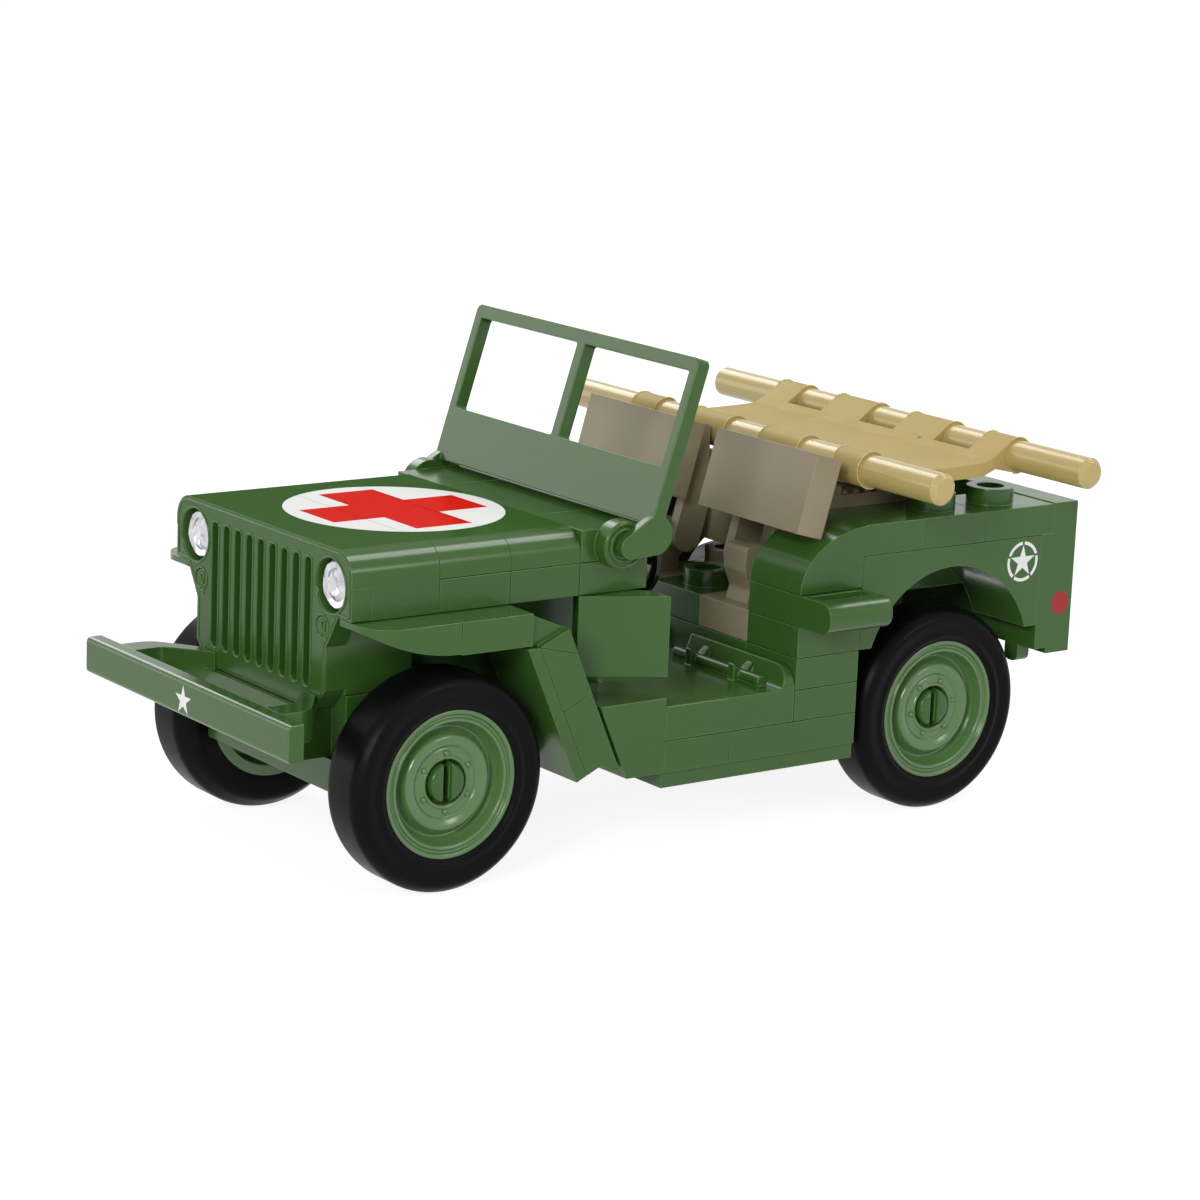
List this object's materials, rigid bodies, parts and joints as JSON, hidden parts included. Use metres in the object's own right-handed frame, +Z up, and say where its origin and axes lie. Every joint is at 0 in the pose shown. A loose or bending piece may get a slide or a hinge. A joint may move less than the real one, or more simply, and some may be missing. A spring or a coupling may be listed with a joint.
{
  "type": "toy army 4x4 car",
  "caption": "Brick-built toy of an open army 4x4 ambulance car, with free-turning wheels, a folding windscreen, tilting seat backs and a lift-off stretcher.",
  "frame": {"origin": "under the middle of the whole toy, on the ground", "axes": "+X forwards, +Y to the car's left, +Z up"},
  "size_m": [0.0946, 0.06, 0.049],
  "materials": {
    "green_plastic": "glossy moulded plastic",
    "rim_plastic": "glossy moulded plastic",
    "tan_plastic": "satin moulded plastic",
    "sand_plastic": "satin moulded plastic",
    "black_plastic": "glossy moulded plastic",
    "clear_plastic": "clear faceted lens",
    "tyre_rubber": "satin rubber"
  },
  "bodies": {
    "car": {"base_plate": "green_plastic", "bonnet_core": "green_plastic", "bonnet_mid": "green_plastic", "bonnet_rear": "green_plastic", "bonnet_tiles": "green_plastic", "bumper": "green_plastic", "cargo_floor": "green_plastic", "chassis": "green_plastic", "cowl_lower": "green_plastic", "cowl_panels": "green_plastic", "cowl_upper": "green_plastic", "door_floors": "green_plastic", "fender_curves": "green_plastic", "fender_slabs": "green_plastic", "front_fenders": "green_plastic", "front_frame": "green_plastic", "nose": "green_plastic", "rear_arches": "green_plastic", "rear_deck": "green_plastic", "rear_riser": "green_plastic", "seat_base": "green_plastic", "seat_riser": "green_plastic", "side_columns": "green_plastic", "side_handles": "green_plastic", "sill_ends": "green_plastic", "sill_tiles": "green_plastic", "tail_wall": "green_plastic", "tub_floor": "green_plastic", "headlamps": "clear_plastic", "rear_cushion": "tan_plastic", "seat_clips": "tan_plastic", "seat_tan_plates": "tan_plastic", "steering_wheel": "black_plastic"},
    "screen": {"windscreen": "green_plastic"},
    "seat_left": {"seat_back_left": "tan_plastic"},
    "seat_right": {"seat_back_right": "tan_plastic"},
    "stretcher": {"stretcher_poles": "sand_plastic", "stretcher_cloth": "sand_plastic"},
    "wheel_rear_left": {"rear_left_tyre": "tyre_rubber", "rear_left_rim": "rim_plastic"},
    "wheel_rear_right": {"rear_right_tyre": "tyre_rubber", "rear_right_rim": "rim_plastic"},
    "wheel_front_left": {"front_left_tyre": "tyre_rubber", "front_left_rim": "rim_plastic"},
    "wheel_front_right": {"front_right_tyre": "tyre_rubber", "front_right_rim": "rim_plastic"}
  },
  "joints": [
    {"name": "rear_left_spin", "type": "hinge", "parent": "car", "child": "wheel_rear_left", "pos_m": [-0.0305, 0.0159, 0.0106], "axis": [0, 1, 0], "continuous": true},
    {"name": "rear_right_spin", "type": "hinge", "parent": "car", "child": "wheel_rear_right", "pos_m": [-0.0305, -0.0159, 0.0106], "axis": [0, 1, 0], "continuous": true},
    {"name": "front_left_spin", "type": "hinge", "parent": "car", "child": "wheel_front_left", "pos_m": [0.0295, 0.0159, 0.0106], "axis": [0, 1, 0], "continuous": true},
    {"name": "front_right_spin", "type": "hinge", "parent": "car", "child": "wheel_front_right", "pos_m": [0.0295, -0.0159, 0.0106], "axis": [0, 1, 0], "continuous": true},
    {"name": "screen_fold", "type": "hinge", "parent": "car", "child": "screen", "pos_m": [0.0095, 0, 0.0312], "axis": [0, 1, 0], "range_deg": [0, 104]},
    {"name": "seat_left_fold", "type": "hinge", "parent": "car", "child": "seat_left", "pos_m": [-0.01495, 0.0095, 0.0257], "axis": [0, 1, 0], "range_deg": [0, 60]},
    {"name": "seat_right_fold", "type": "hinge", "parent": "car", "child": "seat_right", "pos_m": [-0.01495, -0.0095, 0.0257], "axis": [0, 1, 0], "range_deg": [0, 60]},
    {"name": "stretcher_lift", "type": "slide", "parent": "car", "child": "stretcher", "axis": [0, 0, 1], "range_m": [0, 0.03]}
  ]
}
